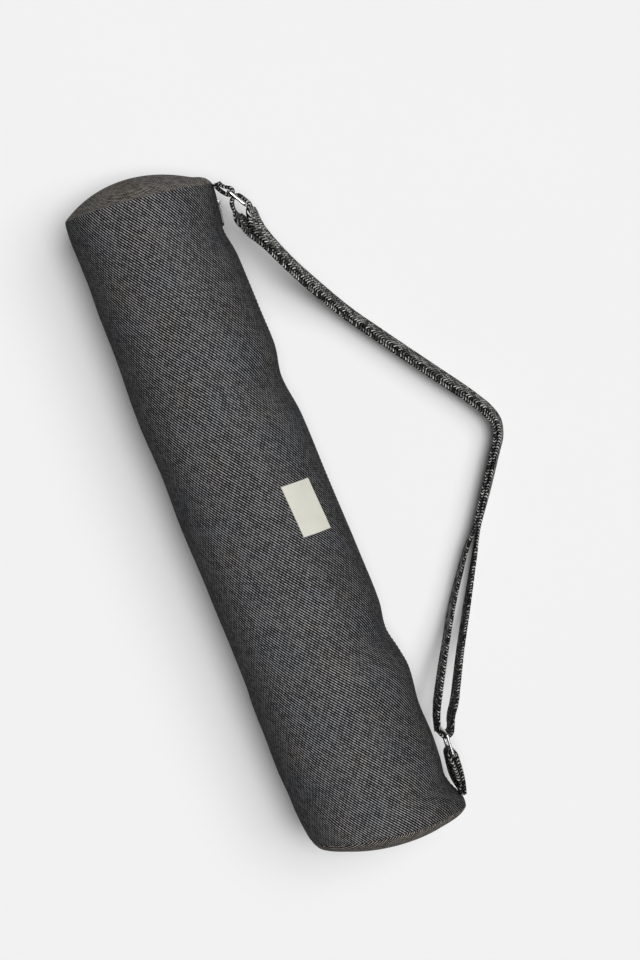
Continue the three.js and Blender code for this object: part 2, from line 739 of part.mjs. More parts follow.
const slider = addPiece('strap_slider', strapSlider(), metalMaterial());
slider.position.copy(sliderMiddle);
slider.rotation.z = radians(sliderTurn);

const ring = addPiece('strap_ring', wireRectangle(ringWindow), metalMaterial());
ring.position.copy(ringMiddle);
ring.rotation.set(radians(-ringLean), 0, radians(ringTurn), 'ZYX');

export default bag;
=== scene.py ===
"""Yoga mat bag: fine cloth, webbing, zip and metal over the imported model, with floor, light and camera."""

import math

import bpy
import numpy as np
from mathutils import Matrix, Vector


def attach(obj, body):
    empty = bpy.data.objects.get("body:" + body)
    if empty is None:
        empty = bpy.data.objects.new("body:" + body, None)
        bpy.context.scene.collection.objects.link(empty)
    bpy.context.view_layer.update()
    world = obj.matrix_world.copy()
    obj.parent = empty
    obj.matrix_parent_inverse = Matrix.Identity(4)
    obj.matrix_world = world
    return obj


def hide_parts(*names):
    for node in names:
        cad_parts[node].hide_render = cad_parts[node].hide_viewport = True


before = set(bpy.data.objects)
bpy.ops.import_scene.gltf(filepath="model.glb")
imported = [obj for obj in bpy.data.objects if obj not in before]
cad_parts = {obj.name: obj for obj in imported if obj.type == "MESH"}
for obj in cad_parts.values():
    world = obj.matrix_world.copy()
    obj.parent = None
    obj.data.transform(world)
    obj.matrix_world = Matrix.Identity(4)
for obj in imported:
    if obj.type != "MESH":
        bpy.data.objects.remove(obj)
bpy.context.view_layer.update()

MM = 0.001
UP = np.array([0.0, 0.0, 1.0])

# Sizes in millimetres, the same as the part's own

BODY_LENGTH = 660.0
HALF_WIDTH = 76.0
BAG_HEIGHT = 140.0
MIDDLE = 70.0
UNDERSIDE_DIP = 1.18
CLOTH = 2.0
TOP_DOME = (22.0, 1.75)  # how far an end bulges past its seam, and how flat it is near the seam
BOTTOM_DOME = (22.5, 1.35)
TOP_SLANT = -0.109
BOTTOM_SLANT = -0.145
TOP_BOW = 4.0
BOTTOM_BOW = -1.5
GAP = 0.3

ZIP_ANGLE = -16.0
SLOT_WIDTH = 14.0
COIL_HEIGHT = 2.4
COIL_DEPTH = 0.8

LABEL_LONG = 53.0
LABEL_WIDE = 34.5
LABEL_THICK = 1.0
LABEL_AT = 0.4915
LABEL_ANGLE = 51.0
LABEL_TURN = 2.5

WEB_WIDTH = 28.0
WEB_THICK = 3.6
WIRE = 3.0
WINDOW_CLEAR = 1.0
WIRE_CORNER = 2.4
SLIDER_OUT = 12.0
SLIDER_DOWN = 12.3
SLIDER_HEIGHT = 70.0
SLIDER_TURN = -60.0
OUTER_SLOT = 10.0
RING_OUT = 4.2
RING_TURN = 85.6
RING_WINDOW = 23.4
TAB_REACH = 52.4
LOWER_TAB_END = 11.0
FACET_LONG = BODY_LENGTH / 36
UPPER_TAB_END = 0.5
STRAP_REACH = 174.0
LOOP_TURN = 68.0
LOOP_SPREAD = 6.5
RING_LIFT = 0.85
RING_LEAN = -7.0

# Outline of the body: share of the length from the top seam, left, right, top.
BODY_SECTIONS = (
    (0.0, 0.95, 0.98, 0.965),
    (0.03, 0.985, 0.955, 0.985),
    (0.07, 0.985, 0.905, 0.99),
    (0.1, 0.975, 0.94, 1.0),
    (0.14, 0.985, 0.955, 1.0),
    (0.2, 0.99, 0.965, 0.995),
    (0.25, 1.005, 0.97, 1.0),
    (0.3, 1.015, 0.905, 0.995),
    (0.36, 1.02, 0.965, 1.0),
    (0.46, 1.02, 0.985, 1.005),
    (0.58, 1.005, 1.01, 1.0),
    (0.66, 0.995, 1.02, 1.0),
    (0.71, 1.0, 0.975, 0.995),
    (0.745, 1.005, 1.035, 1.0),
    (0.775, 1.02, 1.07, 1.0),
    (0.83, 1.02, 1.015, 0.995),
    (0.88, 1.03, 1.025, 0.99),
    (0.92, 1.015, 1.01, 0.985),
    (0.95, 1.01, 0.985, 0.98),
    (0.975, 0.99, 1.03, 0.97),
    (1.0, 0.955, 1.01, 0.955),
)

# Dents of the body: share of the length, angle, depth as a share of half the width, reach along, reach round.
DENTS = (
    (0.07, 20, 0.03, 0.05, 45),
    (0.05, 150, 0.025, 0.06, 50),
    (0.31, 25, 0.025, 0.05, 40),
    (0.55, 120, 0.02, 0.1, 45),
    (0.71, 30, 0.035, 0.04, 45),
    (0.84, 60, 0.025, 0.05, 50),
    (0.93, 130, 0.03, 0.05, 50),
    (0.955, 35, 0.03, 0.03, 45),
    (0.995, 0, -0.1, 0.03, 30),
)

# Route of the strap's pair of plies: out, along, lift, lean, spread.
STRAP_ROUTE = (
    (0.096, 0.985, 1.0, 16, 1.0),
    (0.114, 0.962, 0.92, 22, 0.56),
    (0.155, 0.93, 0.8, 15, 0.35),
    (0.228, 0.875, 0.58, 12, 0.32),
    (0.319, 0.817, 0.28, 12, 0.32),
    (0.425, 0.757, 0.03, 12, 0.32),
    (0.56, 0.694, 0.0, 12, 0.32),
    (0.769, 0.599, 0.0, 13, 0.32),
    (0.912, 0.5345, 0.0, 12, 0.33),
    (0.979, 0.498, 0.0, 11, 0.34),
    (1.0, 0.4743, 0.0, 10, 0.35),
    (0.982, 0.449, 0.0, 10, 0.34),
    (0.916, 0.417, 0.0, 10, 0.33),
    (0.796, 0.361, 0.0, 9, 0.33),
    (0.673, 0.3055, 0.0, 5, 0.37),
    (0.591, 0.2685, 0.0, 1, 0.74),
    (0.437, 0.192, 0.02, -4, 1.12),
    (0.2945, 0.1185, 0.24, -6, 1.2),
    (0.1625, 0.0477, 0.62, -7, 1.29),
    (0.112, 0.021, 0.77, -7, 1.12),
)
SLOT_EXIT = ((-1.0, -1.2), (-0.1, -2.3), (1.5, -3.2))

TURN_RADIUS = WIRE / 2 + GAP + WEB_THICK / 2
INNER_SLOT = WIRE + 2 * WEB_THICK + 3 * GAP
RAIL_HEIGHT = WEB_WIDTH / 2 + WINDOW_CLEAR + WIRE / 2
PAIR_SPREAD = (WEB_THICK + GAP) / 2

# Sizes of what the part leaves out

GRID = 3.0  # of the cloth's mesh
HEM_ROUND = 0.9  # rounding of a folded cloth edge
SEAM_ROUND = 0.8  # rounding of the cloth into an end seam
THINNEST = 0.1  # left of the cloth where its edge rolls in
PUCKER_REACH = 16.0  # from an end seam
PUCKER_HIGH = 0.45
END_PUCKER_HIGH = 0.7
LABEL_FOLD = 0.9
LABEL_STEP = 1.2
WEB_STEP = 0.75  # between two sections of webbing
RIB_PITCH = 3.0
RIB_HIGH = 0.22
CHEVRON = 4.6  # width of one slanted column of the webbing's herringbone
TAB_TWIST = 12.0  # degrees that the lower tab's face turns up between its ends
STITCH_ASIDE = 3.2  # from the opening's edge
STITCH_LONG = 3.0
STITCH_GAP = 1.1
THREAD = 0.5
COIL_PITCH = 1.5
COIL_WIRE = 0.3
COIL_APART = 1.12  # each spiral from the zip's middle
COIL_SWING = 1.1
FLOOR_HALF = 4000.0
FLOOR_DOWN = 0.4

CAMERA_AIM = (66.6, 12.4, 70.0)
CAMERA_DISTANCE = 2221.3
CAMERA_TILT = 6.8
CAMERA_ROLL = 21.28


# The body's shape


def radians(degrees):
    return np.radians(degrees)


def heading(degrees):
    return np.array([math.cos(math.radians(degrees)), math.sin(math.radians(degrees)), 0.0])


def unit(vector):
    return vector / np.linalg.norm(vector, axis=-1, keepdims=True)


def degrees_for(length):
    """Degrees round the bag that a length on its surface takes up."""
    return math.degrees(length / HALF_WIDTH)


def smooth(t):
    t = np.clip(t, 0.0, 1.0)
    return t * t * (3 - 2 * t)


def column(rows, which, at=None):
    """A smooth curve through one column of a table, by its first column or by places of its own."""
    x = np.array([row[0] for row in rows] if at is None else at, float)
    y = np.array([row[which] for row in rows], float)
    before = np.maximum(np.arange(len(x)) - 1, 0)
    after = np.minimum(np.arange(len(x)) + 1, len(x) - 1)
    slope = (y[after] - y[before]) / (x[after] - x[before])

    def curve(place):
        place = np.asarray(place, float)
        i = np.clip(np.searchsorted(x, place, side="right") - 1, 0, len(x) - 2)
        span = x[i + 1] - x[i]
        t = (place - x[i]) / span
        rise = t * t * (3 - 2 * t)
        start = t * (1 - t) ** 2 * span * slope[i]
        end = t * t * (t - 1) * span * slope[i + 1]
        return y[i] * (1 - rise) + y[i + 1] * rise + start + end

    return curve


left_share = column(BODY_SECTIONS, 1)
right_share = column(BODY_SECTIONS, 2)
top_share = column(BODY_SECTIONS, 3)


def fade(offset, reach):
    return (1 + np.cos(np.pi * np.minimum(np.abs(offset / reach), 1))) / 2


def turned(angle):
    """An angle from -180 to 180 degrees."""
    return (angle + 540) % 360 - 180


def dent_depth(at, angle):
    depth = 0.0
    for place, toward, deep, long, wide in DENTS:
        depth = depth + deep * fade(at - place, long) * fade(turned(angle - toward), wide)
    return depth


def section_point(at, angle):
    """The body's outline across the bag: x and height."""
    across = np.cos(radians(angle))
    rise = np.sin(radians(angle))
    shrink = 1 - dent_depth(at, angle)
    side = np.where(across > 0, right_share(at), left_share(at))
    height = np.where(rise > 0, BAG_HEIGHT * top_share(at) - MIDDLE, MIDDLE * UNDERSIDE_DIP)
    x = HALF_WIDTH * side * across * shrink
    z = MIDDLE + height * rise * np.where(rise > 0, shrink, 1.0)
    return np.stack([x, np.maximum(z, 0.0)], -1)


def top_seam(x):
    return BODY_LENGTH / 2 + TOP_SLANT * x - TOP_BOW * (x / HALF_WIDTH) ** 2


def bottom_seam(x):
    return -BODY_LENGTH / 2 + BOTTOM_SLANT * x + BOTTOM_BOW * (x / HALF_WIDTH) ** 2


def body_point(at, angle, depth=0.0):
    """Points on the body, pushed into the cloth by depth."""
    at, angle, depth = np.broadcast_arrays(*(np.asarray(v, float) for v in (at, angle, depth)))
    outer = section_point(at, angle)
    run = unit(section_point(at, angle + 1) - section_point(at, angle - 1))
    x = outer[..., 0] - run[..., 1] * depth
    y = top_seam(x) * (1 - at) + bottom_seam(x) * at
    return np.stack([x, y, outer[..., 1] + run[..., 0] * depth], -1)


# Meshes


def make_piece(name, points, faces, body="bag", uvs=None, material=None, replaces=()):
    """A smooth-shaded mesh from points in millimetres, which rides on a body."""
    mesh = bpy.data.meshes.new(name)
    mesh.from_pydata((np.asarray(points, float) * MM).tolist(), [], [list(face) for face in faces])
    if uvs is not None:
        layer = mesh.uv_layers.new(name="cloth")
        corners = np.empty(len(mesh.loops), np.int32)
        mesh.loops.foreach_get("vertex_index", corners)
        layer.data.foreach_set("uv", (np.asarray(uvs, float) * MM)[corners].astype(np.float32).ravel())
    mesh.shade_smooth()
    piece = bpy.data.objects.new(name, mesh)
    bpy.context.scene.collection.objects.link(piece)
    if material:
        mesh.materials.append(material)
    if replaces:
        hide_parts(*replaces)
    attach(piece, body)
    return piece


def grid_faces(rows, columns, start=0, wraps=False, flip=False):
    """Quads of a grid of points. wraps closes each row on itself."""
    i, j = np.meshgrid(np.arange(rows - 1), np.arange(columns if wraps else columns - 1), indexing="ij")
    k = (j + 1) % columns
    quads = np.stack([i * columns + j, i * columns + k, (i + 1) * columns + k, (i + 1) * columns + j], -1)
    quads = quads.reshape(-1, 4) + start
    return quads[:, ::-1] if flip else quads


def border_of(rows, columns):
    """The corners of a grid in order round its edge."""
    top = np.arange(columns)
    right = np.arange(1, rows) * columns + columns - 1
    bottom = (rows - 1) * columns + np.arange(columns - 2, -1, -1)
    left = np.arange(rows - 2, 0, -1) * columns
    return np.concatenate([top, right, bottom, left])


def thick_sheet(outer, inner):
    """Points and quads of a closed sheet between two grids of points."""
    rows, columns = outer.shape[:2]
    count = rows * columns
    edge = border_of(rows, columns)
    after = np.roll(edge, -1)
    rim = np.stack([edge, edge + count, after + count, after], -1)
    faces = np.concatenate([grid_faces(rows, columns), grid_faces(rows, columns, count, flip=True), rim])
    return np.concatenate([outer.reshape(-1, 3), inner.reshape(-1, 3)]), faces


def steps_with_edges(length, edges, step):
    """Places along a length: close together at both ends, and then a step apart."""
    inner = np.linspace(edges[-1], length - edges[-1], max(2, round((length - 2 * edges[-1]) / step) + 1))
    return np.concatenate([edges[:-1], inner, length - np.array(edges[:-1])[::-1]])


EDGE_PLACES = np.array([0.0, 0.15, 0.4, 0.75, 1.2, 1.8, 2.8, 4.2])


def rounding(place, length, radius):
    """Depth of a rounded edge, from the places along a length."""
    near = np.minimum(np.minimum(place, length - place), radius)
    return radius * (1 - np.sqrt(np.maximum(0.0, 1 - ((radius - near) / radius) ** 2)))


# Small relief of the cloth

WAVES = np.random.default_rng(7)
LONG_WAVES = [
    (WAVES.uniform(2.5, 8), WAVES.integers(1, 5), WAVES.uniform(0, 2 * np.pi), WAVES.uniform(0.08, 0.22))
    for _ in range(14)
]
# Single folds: start and end (millimetres from the top seam, angle), half width, height.
FOLDS = (
    (630, 128, 656, 111, 4.0, 0.9),
    (621, 127, 645, 112, 3.5, -0.9),
    (612, 150, 640, 122, 6.0, 0.5),
    (640, 62, 652, 88, 3.5, 0.5),
    (646, 24, 654, 34, 7.0, 2.6),
    (20, 44, 44, 24, 5.0, 0.5),
)
PUCKERS = [(WAVES.integers(14, 34), WAVES.uniform(0, 2 * np.pi), WAVES.uniform(0.4, 1)) for _ in range(6)]


def puckers(angle, shift):
    total = sum(high * np.sin(radians(count * angle) + phase + shift) for count, phase, high in PUCKERS)
    return total / sum(high for _, _, high in PUCKERS)


def fold_height(along, angle, start, start_angle, end, end_angle, wide, high):
    run = np.array([end - start, HALF_WIDTH * radians(end_angle - start_angle)])
    ahead, aside = along - start, HALF_WIDTH * radians(turned(angle - start_angle))
    place = (ahead * run[0] + aside * run[1]) / (run @ run)
    off = (ahead * run[1] - aside * run[0]) / np.hypot(*run)
    return high * np.exp(-((off / wide) ** 2)) * fade(place - 0.5, 0.8)


def relief(at, angle):
    """Height of the cloth's small folds above the body's main shape."""
    total = 0.0
    for along, around, phase, high in LONG_WAVES:
        total = total + high * np.sin(2 * np.pi * along * at + radians(around * angle) + phase)
    along = at * BODY_LENGTH
    for distance, shift in ((along, 0.0), (BODY_LENGTH - along, 2.0)):
        near = fade(distance - 3, PUCKER_REACH) * smooth(distance / 3)
        total = total + PUCKER_HIGH * puckers(angle, shift) * near
    total = total + sum(fold_height(along, angle, *fold) for fold in FOLDS)
    from_zip = np.abs(turned(angle - ZIP_ANGLE)) - degrees_for(SLOT_WIDTH / 2)
    on_floor = smooth((-np.sin(radians(angle)) - 0.6) / 0.25)
    return total * smooth(from_zip / 14) * (1 - on_floor) * smooth(np.minimum(along, BODY_LENGTH - along) / 3)


# Materials


class Nodes:
    """A short way to build a material's nodes."""

    def __init__(self, name):
        self.material = bpy.data.materials.new(name)
        self.material.use_nodes = True
        self.tree = self.material.node_tree
        self.shader = self.tree.nodes["Principled BSDF"]
        uv = self.tree.nodes.new("ShaderNodeUVMap")
        uv.uv_map = "cloth"
        self.uv = uv.outputs[0]

    def put(self, kind, inputs=None, out=0, **settings):
        node = self.tree.nodes.new(kind)
        for name, value in settings.items():
            setattr(node, name, value)
        for key, value in (inputs or {}).items():
            if isinstance(value, bpy.types.NodeSocket):
                self.tree.links.new(value, node.inputs[key])
            else:
                node.inputs[key].default_value = value
        return node.outputs[out]

    def math(self, operation, a, b=0.0, c=0.0, clamp=False):
        return self.put("ShaderNodeMath", {0: a, 1: b, 2: c}, operation=operation, use_clamp=clamp)

    def phase(self, per_mm):
        """Turns of a wave over the cloth's UV, from its count per millimetre along U and V."""
        vector = (per_mm[0] / MM, per_mm[1] / MM, 0.0)
        return self.put("ShaderNodeVectorMath", {0: self.uv, 1: vector}, out=1, operation="DOT_PRODUCT")

    def wave(self, phase, shift=0.0):
        """From 0 to 1."""
        angle = self.math("MULTIPLY_ADD", phase, 2 * math.pi, shift)
        return self.math("MULTIPLY_ADD", self.math("SINE", angle), 0.5, 0.5)

    def noise(self, scale, detail=2.0, vector=None):
        if vector is None:
            vector = self.put("ShaderNodeTexCoord", out=3)
        return self.put("ShaderNodeTexNoise", {"Vector": vector, "Scale": scale, "Detail": detail})

    def speckle(self, *cells):
        """A steady random value for each cell, from phases whose whole parts count the cells."""
        floors = [self.math("FLOOR", cell) for cell in cells]
        both = self.put("ShaderNodeCombineXYZ", dict(enumerate(floors)))
        return self.put("ShaderNodeTexWhiteNoise", {"Vector": both}, noise_dimensions="3D")

    def ramp(self, value, *stops):
        node = self.tree.nodes.new("ShaderNodeValToRGB")
        self.tree.links.new(value, node.inputs[0])
        while len(node.color_ramp.elements) < len(stops):
            node.color_ramp.elements.new(0.5)
        for element, (place, colour) in zip(node.color_ramp.elements, stops):
            element.position = place
            element.color = (*colour, 1.0)
        return node.outputs[0]

    def mix(self, share, a, b, blend="MIX"):
        node = self.tree.nodes.new("ShaderNodeMix")
        node.data_type = "RGBA"
        node.blend_type = blend
        for key, value in ((0, share), (6, a), (7, b)):
            if isinstance(value, bpy.types.NodeSocket):
                self.tree.links.new(value, node.inputs[key])
            else:
                node.inputs[key].default_value = value if key == 0 else (*value, 1.0)
        return node.outputs[2]

    def finish(self, colour, roughness, height=None, bump=0.3, deep=0.3, **constants):
        self.tree.links.new(colour, self.shader.inputs["Base Color"])
        if isinstance(roughness, bpy.types.NodeSocket):
            self.tree.links.new(roughness, self.shader.inputs["Roughness"])
        else:
            self.shader.inputs["Roughness"].default_value = roughness
        if height is not None:
            inputs = {"Height": height, "Strength": bump, "Distance": deep * MM}
            self.tree.links.new(self.put("ShaderNodeBump", inputs), self.shader.inputs["Normal"])
        for name, value in constants.items():
            self.shader.inputs[name.replace("_", " ")].default_value = value
        return self.material


def linear(*values):
    """A colour from 0 to 255 as the renderer's own linear values."""
    shares = [v / 255 for v in values]
    return tuple(s / 12.92 if s <= 0.04045 else ((s + 0.055) / 1.055) ** 2.4 for s in shares)


# Twill of the body: wave counts per millimetre along and round the bag.
TWILL = (0.27, 0.319)
TWILL_DASH = (0.149, -0.245)


def twill_material(name, dark, middle, light, twill, dash, painted_shade):
    """The last argument paints shade: the counts per millimetre of a wave over the cloth, its shift and its
    stops of brightness, darker where the light falls less.
    """
    n = Nodes(name)
    rib = n.phase(twill)
    break_up = n.phase(dash)
    ribs = n.wave(rib)
    dashes = n.wave(break_up)
    fleck = n.speckle(n.math("ADD", rib, 0.25), n.math("ADD", break_up, 0.25))
    high = n.math("MULTIPLY", ribs, n.math("MULTIPLY_ADD", dashes, 0.26, 0.74))
    lit = n.math("MULTIPLY", high, n.math("MULTIPLY_ADD", fleck, 0.36, 0.82))
    cloud = n.noise(14.0, 3.0)
    lit = n.math("MULTIPLY", lit, n.math("MULTIPLY_ADD", cloud, 0.16, 0.92))
    colour = n.ramp(lit, (0.14, dark), (0.46, middle), (0.9, light))
    tint = n.ramp(n.noise(22.0, 1.0), (0.35, (0.97, 0.99, 1.03)), (0.65, (1.04, 1.0, 0.96)))
    colour = n.mix(0.7, colour, tint, "MULTIPLY")
    # Painted shade: a brightness wave round the cloth that multiplies its colour, darker where the light
    # falls less.
    counts, shift, stops = painted_shade
    painted_shade_colour = n.ramp(n.wave(n.phase(counts), shift), *((place, (share,) * 3) for place, share in stops))
    colour = n.mix(1.0, colour, painted_shade_colour, "MULTIPLY")
    rough = n.math("MULTIPLY_ADD", high, -0.25, 0.95)
    return n.finish(colour, rough, high, 0.3, 0.3, Specular_IOR_Level=0.03)


def webbing_material():
    """Black herringbone with light ribs, whose chevrons point along the webbing's edge."""
    n = Nodes("webbing")
    along = n.phase((1 / RIB_PITCH, 0.0))
    around = n.math("MULTIPLY", n.put("ShaderNodeSeparateXYZ", {0: n.uv}, out=1), 1 / (CHEVRON * MM))
    slant = n.math("PINGPONG", around, 1.0)
    ribs = n.math("ADD", along, slant)
    fleck = n.speckle(n.math("ADD", ribs, 0.25), around)
    high = n.wave(ribs)
    lit = n.math("MULTIPLY", high, n.math("MULTIPLY_ADD", fleck, 0.5, 0.5))
    colour = n.ramp(lit, (0.3, linear(5, 5, 6)), (0.58, linear(50, 50, 50)), (0.94, linear(222, 221, 217)))
    return n.finish(colour, 0.75, high, 0.9, 0.5, Specular_IOR_Level=0.15)


def label_material():
    n = Nodes("label")
    weft = n.wave(n.phase((0.0, 1.6)))
    warp = n.wave(n.phase((2.2, 0.0)))
    high = n.math("MULTIPLY", weft, warp)
    shade = n.math("MULTIPLY_ADD", n.noise(60.0, 3.0), 0.25, n.math("MULTIPLY", high, 0.2))
    colour = n.ramp(shade, (0.05, linear(196, 195, 183)), (0.35, linear(214, 213, 201)))
    return n.finish(colour, 0.6, high, 0.25, 0.15, Sheen_Weight=0.15)


def tape_material():
    n = Nodes("zip_tape")
    bones = n.math("PINGPONG", n.phase((0.0, 0.35)), 1.0)
    ribs = n.wave(n.math("ADD", n.phase((0.9, 0.0)), bones))
    colour = n.ramp(ribs, (0.0, linear(16, 16, 18)), (1.0, linear(52, 52, 55)))
    return n.finish(colour, 0.8, ribs, 0.6, 0.2)


def plain_material(name, low, high, roughness, scale=400.0, **constants):
    """A finish with a fine grain in its colour and its roughness."""
    n = Nodes(name)
    grain = n.noise(scale, 4.0)
    colour = n.ramp(grain, (0.3, low), (0.7, high))
    rough = n.math("MULTIPLY_ADD", grain, 0.12, roughness - 0.06)
    return n.finish(colour, rough, grain, 0.08, 0.1, **constants)


GIRTH = 2 * math.pi * HALF_WIDTH
cloth_material = twill_material(
    "body_twill", linear(1, 1, 2), linear(33, 33, 34), linear(149, 149, 150), TWILL, TWILL_DASH,
    # Painted shade: darker on the sides and underneath, lightest along the top.
    ((0.0, 1 / GIRTH), -0.28, ((0.6, 0.45), (0.88, 0.75), (0.97, 1.0))),
)
end_material = twill_material(
    "end_twill", linear(1, 1, 1), linear(27, 26, 24), linear(163, 158, 151), (0.27, -0.319), (0.149, 0.245),
    # Painted shade: a little darker towards the floor, lighter towards the top.
    ((0.0, 1 / GIRTH), 0.0, ((0.0, 0.9), (1.0, 1.0))),
)
web_material = webbing_material()
cream_material = label_material()
zip_tape_material = tape_material()
coil_material = plain_material("zip_coil", linear(16, 16, 18), linear(30, 30, 33), 0.4)
thread_material = plain_material("thread", linear(36, 36, 38), linear(64, 64, 66), 0.7, 900.0)
satin_material = plain_material(
    "satin_metal", linear(84, 84, 84), linear(104, 104, 103), 0.45, 300.0, Metallic=1.0
)
metal_material = plain_material(
    "metal", linear(206, 206, 204), linear(228, 228, 226), 0.2, 300.0, Metallic=1.0
)


# Cloth


def body_cloth():
    """The body's sheet, with hems along the zip and edges that turn into the end seams."""
    first = ZIP_ANGLE + degrees_for(SLOT_WIDTH / 2)
    unrolled = math.radians(360 - 2 * degrees_for(SLOT_WIDTH / 2)) * HALF_WIDTH
    along = steps_with_edges(BODY_LENGTH, EDGE_PLACES, GRID)
    around = steps_with_edges(unrolled, EDGE_PLACES, GRID)
    at = (along / BODY_LENGTH * (1 + GAP / BODY_LENGTH) - GAP / 2 / BODY_LENGTH)[:, None]
    angle = (first + np.degrees(around / HALF_WIDTH))[None, :]
    seam = rounding(along, BODY_LENGTH, SEAM_ROUND)[:, None]
    hem = rounding(around, unrolled, HEM_ROUND)[None, :]
    lift = relief(at, angle)
    depth = seam + hem - lift
    outer = body_point(at, angle, depth)
    inner = body_point(at, angle, np.maximum(CLOTH - hem - np.minimum(lift, 0.0), depth + THINNEST))
    outer[..., 2] = np.maximum(outer[..., 2], 0.0)
    points, faces = thick_sheet(outer, inner)
    flat = np.stack(np.broadcast_arrays(along[:, None], around[None, :]), -1).reshape(-1, 2)
    return make_piece(
        "body_cloth", points, faces, uvs=np.tile(flat, (2, 1)),
        material=cloth_material, replaces=["body_panel"],
    )


END_ANGLES = np.arange(0, 360, 2.4)
END_ROLL = 0.03  # share of an end's rings where its rim rolls into the seam
SHOULDER_PLACE = 0.24
END_RINGS = np.concatenate([[0.0, 0.004, 0.01, 0.018, 0.03, 0.045, 0.07], np.linspace(0.1, 1, 22)[:-1]])


def end_surface(end, depth):
    """Points of one side of a domed end, ring by ring from its rim, and last its middle."""
    rim = body_point(end["at"], END_ANGLES, depth)
    turn = (END_RINGS * np.pi / 2)[:, None]
    radius = np.cos(turn)
    bulge = (end["dome"] - depth) * np.sin(turn) ** end["power"]
    if depth == 0:
        radius = radius - rounding(END_RINGS / END_ROLL, math.inf, 1.0)[:, None] * SEAM_ROUND / HALF_WIDTH
        near_rim = smooth(END_RINGS / 0.12) * fade(END_RINGS, 0.5)
        bulge = bulge + END_PUCKER_HIGH * puckers(END_ANGLES, 1.0) * near_rim[:, None]
    side = np.maximum(0, np.cos(radians(END_ANGLES - end["shoulder_angle"]))) ** 4
    near_shoulder = fade(END_RINGS[:, None] - SHOULDER_PLACE, SHOULDER_PLACE)
    bulge = bulge + end["shoulder"] * near_shoulder * side
    x = rim[None, :, 0] * radius
    z = MIDDLE + (rim[None, :, 2] - MIDDLE) * radius
    y = end["seam"](x) + end["outward"] * (GAP / 2 + bulge)
    tip = [0.0, end["seam"](0.0) + end["outward"] * (GAP / 2 + end["dome"] - depth), MIDDLE]
    return np.concatenate([np.stack([x, y, z], -1).reshape(-1, 3), [tip]])


def end_faces(rows, around):
    """Faces between the outer and the inner points of an end, and round its rim."""
    count = rows * around + 1
    ring = np.arange(around)
    after = np.roll(ring, -1)
    last = (rows - 1) * around
    tip = np.full(around, count - 1)
    faces = grid_faces(rows, around, wraps=True).tolist()
    faces += grid_faces(rows, around, count, wraps=True, flip=True).tolist()
    faces += np.stack([last + ring, last + after, tip], -1).tolist()
    faces += np.stack([count + last + after, count + last + ring, count + tip], -1).tolist()
    return faces + np.stack([after, ring, count + ring, count + after], -1).tolist()


def end_cloth(name, end):
    """A domed end, whose rim turns into the seam and has small puckers."""
    outer, inner = end_surface(end, 0.0), end_surface(end, CLOTH)
    faces = end_faces(len(END_RINGS), len(END_ANGLES))
    if end["outward"] > 0:
        faces = [face[::-1] for face in faces]
    rib = outer[:-1].reshape(len(END_RINGS), -1, 3)[:, 0]
    arc = np.concatenate([[0], np.cumsum(np.linalg.norm(np.diff(rib, axis=0), axis=-1))])
    from_middle = arc[-1] - arc + 3
    turn = radians(END_ANGLES)
    flat = np.stack([np.outer(from_middle, np.cos(turn)), np.outer(from_middle, np.sin(turn))], -1)
    flat = np.concatenate([flat.reshape(-1, 2), [[0.0, 0.0]]])
    return make_piece(
        name + "_cloth", np.concatenate([outer, inner]), faces, uvs=np.tile(flat, (2, 1)),
        material=end_material, replaces=[name],
    )


TOP_END = {
    "at": 0.0, "outward": 1, "seam": top_seam, "dome": TOP_DOME[0], "power": TOP_DOME[1],
    "shoulder": 3.4, "shoulder_angle": 8.0,
}
BOTTOM_END = {
    "at": 1.0, "outward": -1, "seam": bottom_seam, "dome": BOTTOM_DOME[0], "power": BOTTOM_DOME[1],
    "shoulder": 2.6, "shoulder_angle": 172.0,
}


def sheet_on_body(name, at, angle, outer_depth, inner_depth, flat, material, replaces):
    outer = body_point(at, angle, outer_depth)
    inner = body_point(at, angle, inner_depth)
    points, faces = thick_sheet(outer, inner)
    uvs = np.stack(np.broadcast_arrays(*flat), -1).reshape(-1, 2)
    return make_piece(
        name, points, faces, uvs=np.tile(uvs, (2, 1)), material=material, replaces=replaces
    )


def label():
    """The bare cream label, with rounded folds at its edges."""
    edges = np.array([0.0, 0.1, 0.3, 0.6, 1.0, 1.6])
    along = steps_with_edges(LABEL_LONG, edges, LABEL_STEP)
    around = steps_with_edges(LABEL_WIDE, edges, LABEL_STEP)
    down, over = (along - LABEL_LONG / 2)[:, None], (around - LABEL_WIDE / 2)[None, :]
    cos, sin = math.cos(math.radians(LABEL_TURN)), math.sin(math.radians(LABEL_TURN))
    at = LABEL_AT + (down * cos + over * sin) / BODY_LENGTH
    angle = LABEL_ANGLE + np.degrees((over * cos - down * sin) / HALF_WIDTH)
    ends, sides = rounding(along, LABEL_LONG, LABEL_FOLD), rounding(around, LABEL_WIDE, LABEL_FOLD)
    edge = np.maximum(ends[:, None], sides[None, :])
    swell = 0.12 * np.sin(along / 5.2)[:, None] * np.cos(around / 4.1)[None, :]
    lift = relief(at, angle)
    top = -GAP - LABEL_THICK + edge + swell * (edge < 0.01) - lift
    return sheet_on_body(
        "label_cloth", at, angle, top, 0.05 - GAP - lift,
        (along[:, None], around[None, :]), cream_material, ["label"],
    )


# Zip


def zip_tape(side, name):
    """side: 1 above the coil, -1 below it. Its inner edge runs on under the coil."""
    across = np.array([0.15, 1.2, 2.6, 3.0, 3.6, 5.0, 7.0, 9.0, 11.0, 13.0, 13.8])
    depth = CLOTH + GAP + 1.25 * smooth((3.6 - across) / 1.0)
    along = np.linspace(0, BODY_LENGTH, 220)
    angle = ZIP_ANGLE + side * np.degrees(across / HALF_WIDTH)
    at = (along / BODY_LENGTH)[:, None]
    if side < 0:
        angle, depth, across = angle[::-1], depth[::-1], across[::-1]
    return sheet_on_body(
        name + "_cloth", at, angle, depth, depth + 0.5,
        (along[:, None], across[None, :]), zip_tape_material, [name],
    )


